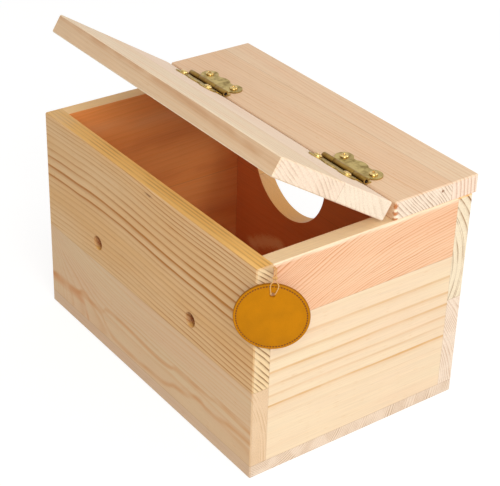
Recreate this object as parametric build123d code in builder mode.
from build123d import *
import os
from math import cos, radians, sin, tan

# A pine breeding box for cage birds, with its lid part open. All lengths are in millimetres.
# X runs along the box, -Y is the wall with the small holes and +Z is up, from the middle of the underside.

# The walls and the floor
box_length = 235.0
box_width = 160.0
wall_top = 145.0
floor_thickness = 9.0
long_wall_thickness = 11.5
end_wall_thickness = 11.0
arris = 0.7

# Heights of the glue lines between the staves of each wall
vent_wall_joint = 62.0
entrance_wall_joint = 73.0
right_end_joint = 105.0
left_end_joint = 68.0

# The holes in the long walls
entrance_radius = 39.5
entrance_from_left = 71.5
entrance_height = 93.5
vent_radius = 5.0
vent_spacing = 107.0
vent_height = 77.5

# The roof board, which is fixed, and the lid in front of it; each share runs back from the board's front edge
roof_thickness = 12.5
roof_depth = 65.0
roof_overhang = 3.0
roof_joint_share = 0.68
lid_joint_share = 0.545
lid_gap = 1.4
lid_seat_clearance = 0.3
lid_open_angle = 32.5

# The butterfly hinges
hinge_inset = 46.0
hinge_length = 40.0
middle_knuckle = 18.4
knuckle_gap = 0.3
pin_radius = 1.15
pin_clearance = 0.05
pin_recess = 2.2
pin_bevel = 0.2
leaf_sheet = 0.95
leaf_strip = 1.6
leaf_neck = 33.0
leaf_depth = 14.0
lobe_radius = 5.9
crown_radius = 8.6
crown_height = 16.0
curl_slit = 0.5

# The hinge screws
screw_spacing = 27.4
screw_reach = 10.8
screw_length = 9.0
screw_tip = 2.4
screw_point_radius = 0.3
shank_radius = 1.2
head_radius = 2.8
head_height = 1.7
head_bevel = 1.0
recess_length = 3.0
recess_width = 0.7
recess_depth = 0.9
first_recess_turn = 20.0
recess_turn_step = 50.0
pilot_clearance = 0.05
pilot_spare_depth = 0.5

# The brads that hold the floor up against the walls
brad_radius = 0.8
brad_length = 25.0
brad_end_margin = 22.0

# The blank hang tag on its twine at the near corner
tag_radius = 21.5
tag_thickness = 1.8
tag_edge_bevel = 0.3
tag_height = 116.5
tag_beside_corner = 9.0
tag_facing_angle = 53.0
tag_clearance = 0.3
tag_hole_radius = 1.6
tag_hole_rise = 14.5
twine_radius = 0.35
twine_sides = 8
knot_height = 141.1
knot_beside_corner = 10.0
knot_before_corner = -0.3
knot_dip_angle = 34.4
knot_length = 1.5
knot_width = 3.1
knot_depth = 1.9
knot_wall = 0.45
knot_edge_bevel = 0.3

# The twine's route: out of the wall joint, over the tag's rim, through its hole and back up, point by point
twine_route = [
    (117.5, -68.95, 143.4),
    (119.6, -68.95, 143.4),
    (121.29, -70.65, 142.5),
    (123.22, -72.41, 140.9),
    (124.73, -73.56, 139.6),
    (124.27, -75.84, 137.9),
    (124.34, -75.45, 134.5),
    (124.56, -75.12, 130.9),
    (121.93, -73.13, 130.9),
    (122.95, -71.77, 130.9),
    (125.58, -73.76, 130.9),
    (126.74, -72.25, 134.8),
    (127.28, -71.84, 138.0),
    (125.34, -72.76, 139.6),
    (123.82, -71.61, 140.9),
    (121.84, -69.75, 142.5),
    (119.6, -68.0, 143.4),
    (117.5, -68.0, 143.4),
]
arc_run_share = 0.45

# Where the lid turns: over the middle of the gap, with the hinge barrels resting on the boards
barrel_radius = pin_radius + pin_clearance + leaf_sheet
roof_top = wall_top + roof_thickness
roof_front = box_width / 2 + roof_overhang - roof_depth
pin_line = (0, roof_front - lid_gap / 2, roof_top + barrel_radius)
lid_depth = pin_line[1] + box_width / 2
lid_up = (0, sin(radians(lid_open_angle)), cos(radians(lid_open_angle)))

# The outer face of each board, with the wood behind it
vent_face = Plane(origin=(0, -box_width / 2, 0), x_dir=(1, 0, 0), z_dir=(0, -1, 0))
entrance_face = Plane(origin=(0, box_width / 2, 0), x_dir=(-1, 0, 0), z_dir=(0, 1, 0))
right_face = Plane(origin=(box_length / 2, 0, 0), x_dir=(0, 1, 0), z_dir=(1, 0, 0))
left_face = Plane(origin=(-box_length / 2, 0, 0), x_dir=(0, -1, 0), z_dir=(-1, 0, 0))
under_face = Plane(origin=(0, 0, 0), x_dir=(1, 0, 0), z_dir=(0, 0, -1))
roof_face = Plane(origin=(0, 0, roof_top), x_dir=(1, 0, 0), z_dir=(0, 0, 1))


def roof_frame(middle):
    """The pin line of the hinge at middle, seen by its roof leaf: Y runs back over the roof and Z up."""
    return Plane(origin=(middle, pin_line[1], pin_line[2]), x_dir=(1, 0, 0), z_dir=(0, 0, 1))


def lid_frame(middle):
    """The same pin line, seen by the lid leaf: Y runs over the lid to its front edge and Z out of its top."""
    return Plane(origin=(middle, pin_line[1], pin_line[2]), x_dir=(-1, 0, 0), z_dir=lid_up)


lid_face = lid_frame(0).offset(-barrel_radius)


def stave(face, across, along, thickness, glued, faces_eased=1):
    """One straight stave behind a board's face. across and along are its (low, high) sides on that face.

    glued names the sides that meet another board: "left", "right", "low" or "high". The others are eased.
    """
    sides = {"left": across[0], "right": across[1], "low": along[0], "high": along[1]}

    def free_sides(edge):
        place = face.to_local_coords(edge.center())
        places = {"left": place.X, "right": place.X, "low": place.Y, "high": place.Y}
        return [name not in glued for name in sides if abs(places[name] - sides[name]) < arris / 2]

    def is_eased(edge):
        free = free_sides(edge)
        depth = -face.to_local_coords(edge.center()).Z
        return all(free) and (len(free) == 2 or depth < arris or faces_eased == 2)

    with BuildPart() as board:
        with BuildSketch(face):
            with Locations(((across[0] + across[1]) / 2, (along[0] + along[1]) / 2)):
                Rectangle(across[1] - across[0], along[1] - along[0])
        extrude(amount=-thickness)
        eased = board.edges().filter_by(is_eased)
        if eased:
            chamfer(eased, arris)
    return board.part


def screw_planes(frame, height):
    """A plane at each of a leaf's two screws, height above its pin line."""
    places = [(side * screw_spacing / 2, screw_reach, height) for side in (-1, 1)]
    return [Plane(frame.from_local_coords(place), x_dir=frame.x_dir, z_dir=frame.z_dir) for place in places]


def brad_planes():
    """A plane under each brad, looking up: three along each long wall."""
    near_end = box_length / 2 - brad_end_margin
    beside = box_width / 2 - long_wall_thickness / 2
    places = [(along, side * beside, 0) for side in (-1, 1) for along in (-near_end, 0, near_end)]
    return [Plane(origin=place, z_dir=(0, 0, 1)) for place in places]


def with_brad_holes(board):
    """The board with a hole for each brad that enters it."""
    with BuildPart() as drilled:
        add(board)
        for plane in brad_planes():
            with BuildSketch(plane):
                Circle(brad_radius + pilot_clearance)
            extrude(amount=brad_length + pilot_spare_depth, mode=Mode.SUBTRACT)
    return drilled.part


def with_entrance(board):
    """The board with its share of the round entrance cut away."""
    middle = (entrance_from_left - box_length / 2, box_width / 2, entrance_height)
    with BuildPart() as cut:
        add(board)
        with Locations(Plane(origin=middle, z_dir=(0, 1, 0))):
            Hole(entrance_radius)
    return cut.part


def with_pilot_holes(board, frames):
    """The board with the holes that the screws of its hinge leaves go into."""
    depth = screw_length - leaf_sheet + pilot_spare_depth
    with BuildPart() as drilled:
        add(board)
        for frame in frames:
            for plane in screw_planes(frame, -barrel_radius):
                with Locations(plane):
                    Hole(shank_radius + pilot_clearance, depth)
    return drilled.part


def hinge_leaf(frame, own_spans, other_spans):
    """One leaf of a butterfly hinge, with its knuckles rolled round the pin line.

    The spans are the stretches of the pin line that this leaf's knuckles and the other leaf's hold.
    """
    shoulder = barrel_radius + knuckle_gap
    bore_radius = pin_radius + pin_clearance
    with BuildPart() as leaf:
        with BuildSketch(frame.offset(-barrel_radius)):
            with Locations((0, shoulder + leaf_strip / 2)):
                Rectangle(hinge_length, leaf_strip)
            with Locations((0, (shoulder + leaf_depth) / 2)):
                Rectangle(leaf_neck, leaf_depth - shoulder)
            with Locations((0, crown_height - crown_radius)):
                Circle(crown_radius)
            with Locations((-screw_spacing / 2, screw_reach), (screw_spacing / 2, screw_reach)):
                Circle(lobe_radius)
                Circle(shank_radius + pilot_clearance, mode=Mode.SUBTRACT)
            with Locations((0, -shoulder)):
                Rectangle(hinge_length, 4 * shoulder, mode=Mode.SUBTRACT)
            for low, high in own_spans:
                with Locations(((low + high) / 2, shoulder / 2)):
                    Rectangle(high - low, shoulder)
        extrude(amount=leaf_sheet)
        for low, high in own_spans:
            end = frame.from_local_coords((low, 0, 0))
            with BuildSketch(Plane(end, x_dir=frame.y_dir, z_dir=frame.x_dir)):
                Circle(barrel_radius)
                with Locations((shoulder / 2, (leaf_sheet - 2 * barrel_radius) / 2)):
                    Rectangle(shoulder, leaf_sheet)
                Circle(bore_radius, mode=Mode.SUBTRACT)
                with Locations((barrel_radius, (curl_slit - 2 * bore_radius) / 2)):
                    Rectangle(2 * barrel_radius - bore_radius, curl_slit, mode=Mode.SUBTRACT)
            extrude(amount=high - low)
    return leaf.part


def hinge_pin(frame):
    """The plain pin inside the knuckles, its ends a little inside the outer two."""
    length = hinge_length - 2 * pin_recess
    end = frame.from_local_coords((-length / 2, 0, 0))
    with BuildPart() as pin:
        with BuildSketch(Plane(end, x_dir=frame.y_dir, z_dir=frame.x_dir)):
            Circle(pin_radius)
        extrude(amount=length)
        chamfer(pin.edges().filter_by(GeomType.CIRCLE), pin_bevel)
    return pin.part


def leaf_screws(frame):
    """The two round-headed screws of one leaf, each with a crossed recess turned its own way."""
    with BuildPart() as screws:
        for count, seat in enumerate(screw_planes(frame, leaf_sheet - barrel_radius)):
            with BuildSketch(Plane(seat.origin, x_dir=seat.x_dir, z_dir=-seat.y_dir)):
                with BuildLine():
                    Polyline(
                        (0, head_height),
                        (head_radius - head_bevel, head_height),
                        (head_radius, head_height - head_bevel),
                        (head_radius, 0),
                        (shank_radius, 0),
                        (shank_radius, screw_tip - screw_length),
                        (screw_point_radius, -screw_length),
                        (0, -screw_length),
                        close=True,
                    )
                make_face()
            revolve(axis=Axis(seat.origin, seat.z_dir))
            with BuildSketch(seat.offset(head_height)):
                turn = first_recess_turn + recess_turn_step * count
                Rectangle(recess_length, recess_width, rotation=turn)
                Rectangle(recess_width, recess_length, rotation=turn)
            extrude(amount=-recess_depth, mode=Mode.SUBTRACT)
    return screws.part


def save(piece, name):
    """Label the piece and write it under its name."""
    piece.label = name
    export_step(piece, f"parts/{name}.step")


os.makedirs("parts", exist_ok=True)

# The long walls run the full length of the box
ends = (-box_length / 2, box_length / 2)
vent_spans = [(floor_thickness, vent_wall_joint), (vent_wall_joint, wall_top)]
lower_vent_stave = stave(vent_face, ends, vent_spans[0], long_wall_thickness, ("low", "high"))
upper_vent_stave = stave(vent_face, ends, vent_spans[1], long_wall_thickness, ("low",))
with BuildPart() as vent_wall_upper:
    add(upper_vent_stave)
    with Locations(vent_face):
        with Locations((-vent_spacing / 2, vent_height), (vent_spacing / 2, vent_height)):
            Hole(vent_radius)

entrance_spans = [(floor_thickness, entrance_wall_joint), (entrance_wall_joint, wall_top)]
lower_entrance_stave = stave(entrance_face, ends, entrance_spans[0], long_wall_thickness, ("low", "high"))
upper_entrance_stave = stave(entrance_face, ends, entrance_spans[1], long_wall_thickness, ("low",))

# The end walls stand between them
between = (long_wall_thickness - box_width / 2, box_width / 2 - long_wall_thickness)
enclosed = ("left", "right", "low", "high")
butted = ("left", "right", "low")
right_spans = [(floor_thickness, right_end_joint), (right_end_joint, wall_top)]
right_end_wall_lower = stave(right_face, between, right_spans[0], end_wall_thickness, enclosed)
right_end_wall_upper = stave(right_face, between, right_spans[1], end_wall_thickness, butted)
left_spans = [(floor_thickness, left_end_joint), (left_end_joint, wall_top)]
left_end_wall_lower = stave(left_face, between, left_spans[0], end_wall_thickness, enclosed)
left_end_wall_upper = stave(left_face, between, left_spans[1], end_wall_thickness, butted)

# The floor lies under all four walls
floor_sides = (-box_width / 2, box_width / 2)
floor_board = stave(under_face, ends, floor_sides, floor_thickness, ())

# The roof board lies on the walls, and the lid lies in front of it when it is shut
hinge_middles = {"left": hinge_inset - box_length / 2, "right": box_length / 2 - hinge_inset}
roof_joint = roof_front + roof_joint_share * roof_depth
roof_front_stave = stave(roof_face, ends, (roof_front, roof_joint), roof_thickness, ("high",), 2)
roof_rear_stave = stave(roof_face, ends, (roof_joint, roof_front + roof_depth), roof_thickness, ("low",), 2)
lid_thickness = roof_thickness - lid_seat_clearance
lid_joint = (1 - lid_joint_share) * lid_depth
lid_rear_stave = stave(lid_face, ends, (lid_gap / 2, lid_joint), lid_thickness, ("high",), 2)
lid_front_stave = stave(lid_face, ends, (lid_joint, lid_depth), lid_thickness, ("low",), 2)

boards = {
    "vent_wall_lower": with_brad_holes(lower_vent_stave),
    "vent_wall_upper": vent_wall_upper.part,
    "entrance_wall_lower": with_brad_holes(with_entrance(lower_entrance_stave)),
    "entrance_wall_upper": with_entrance(upper_entrance_stave),
    "right_end_wall_lower": right_end_wall_lower,
    "right_end_wall_upper": right_end_wall_upper,
    "left_end_wall_lower": left_end_wall_lower,
    "left_end_wall_upper": left_end_wall_upper,
    "floor_board": with_brad_holes(floor_board),
    "roof_front_stave": with_pilot_holes(roof_front_stave, [roof_frame(x) for x in hinge_middles.values()]),
    "roof_rear_stave": roof_rear_stave,
    "lid_rear_stave": with_pilot_holes(lid_rear_stave, [lid_frame(x) for x in hinge_middles.values()]),
    "lid_front_stave": lid_front_stave,
}
for name, board in boards.items():
    save(board, name)

# Two hinges alike: the roof leaf has the outer knuckles and the lid leaf has the middle one
knuckle_edge = middle_knuckle / 2
outer_edge = knuckle_edge + knuckle_gap
outer_spans = [(-hinge_length / 2, -outer_edge), (outer_edge, hinge_length / 2)]
middle_span = [(-knuckle_edge, knuckle_edge)]
for side, middle in hinge_middles.items():
    save(hinge_leaf(roof_frame(middle), outer_spans, middle_span), f"{side}_hinge_roof_leaf")
    save(hinge_leaf(lid_frame(middle), middle_span, outer_spans), f"{side}_hinge_lid_leaf")
    save(hinge_pin(roof_frame(middle)), f"{side}_hinge_pin")
    save(leaf_screws(roof_frame(middle)), f"{side}_hinge_roof_screws")
    save(leaf_screws(lid_frame(middle)), f"{side}_hinge_lid_screws")

# Headless brads, flush with the underside of the floor
with BuildPart() as floor_brads:
    for plane in brad_planes():
        with BuildSketch(plane):
            Circle(brad_radius)
        extrude(amount=brad_length)
save(floor_brads.part, "floor_brads")

# The tag hangs upright with its back against the box's near corner and faces away from that corner
facing = (sin(radians(tag_facing_angle)), -cos(radians(tag_facing_angle)), 0)
tag_corner = Plane(origin=(box_length / 2, -box_width / 2, 0), x_dir=(-facing[1], facing[0], 0), z_dir=facing)
tag_back = Plane(
    tag_corner.from_local_coords((tag_beside_corner, tag_height, tag_clearance)),
    x_dir=tag_corner.x_dir,
    z_dir=tag_corner.z_dir,
)
with BuildPart() as tag_disc:
    with BuildSketch(tag_back):
        Circle(tag_radius)
        with Locations((0, tag_hole_rise)):
            Circle(tag_hole_radius, mode=Mode.SUBTRACT)
    extrude(amount=tag_thickness)
    chamfer(tag_disc.edges().filter_by(GeomType.CIRCLE), tag_edge_bevel)
save(tag_disc.part, "tag_disc")

# The knot: a turn of twine round both strands, where they dip towards the tag's rim
knot_way = facing[0] * cos(radians(knot_dip_angle)), facing[1] * cos(radians(knot_dip_angle))
knot_end = Plane(
    tag_corner.from_local_coords((knot_beside_corner, knot_height, knot_before_corner)),
    x_dir=tag_corner.x_dir,
    z_dir=(*knot_way, -sin(radians(knot_dip_angle))),
)
with BuildPart() as twine_knot:
    with BuildSketch(knot_end):
        Ellipse(knot_width / 2, knot_depth / 2)
    extrude(amount=knot_length)
    chamfer(twine_knot.edges().filter_by(GeomType.ELLIPSE), knot_edge_bevel)
    with BuildSketch(knot_end):
        Ellipse(knot_width / 2 - knot_wall, knot_depth / 2 - knot_wall)
    extrude(amount=knot_length, mode=Mode.SUBTRACT)
save(twine_knot.part, "twine_knot")


def arc_radii(route):
    """The largest arcs that a route's runs allow, one for each of its corners."""
    points = [Vector(*point) for point in route]
    radii = []
    for before, corner, after in zip(points, points[1:], points[2:]):
        turn = (corner - before).get_angle(after - corner)
        shorter = min((corner - before).length, (after - corner).length)
        radii.append(arc_run_share * shorter / tan(radians(turn / 2)))
    return radii


twine_arcs = arc_radii(twine_route)
with BuildPart() as tag_twine:
    with BuildLine() as twine_line:
        FilletPolyline(*twine_route, radius=twine_arcs)
    with BuildSketch(Plane(origin=twine_line.line @ 0, z_dir=twine_line.line % 0)) as twine_section:
        RegularPolygon(twine_radius, twine_sides)
    sweep()
save(tag_twine.part, "tag_twine")
twine_length = twine_line.wires()[0].length
whole_share = tag_twine.part.volume / (twine_section.sketch.area * twine_length)
print("twine arcs, in diameters:", [round(radius / (2 * twine_radius), 1) for radius in twine_arcs])
print(f"twine length {twine_length:.1f}, volume {whole_share:.4f} of its section times its length")
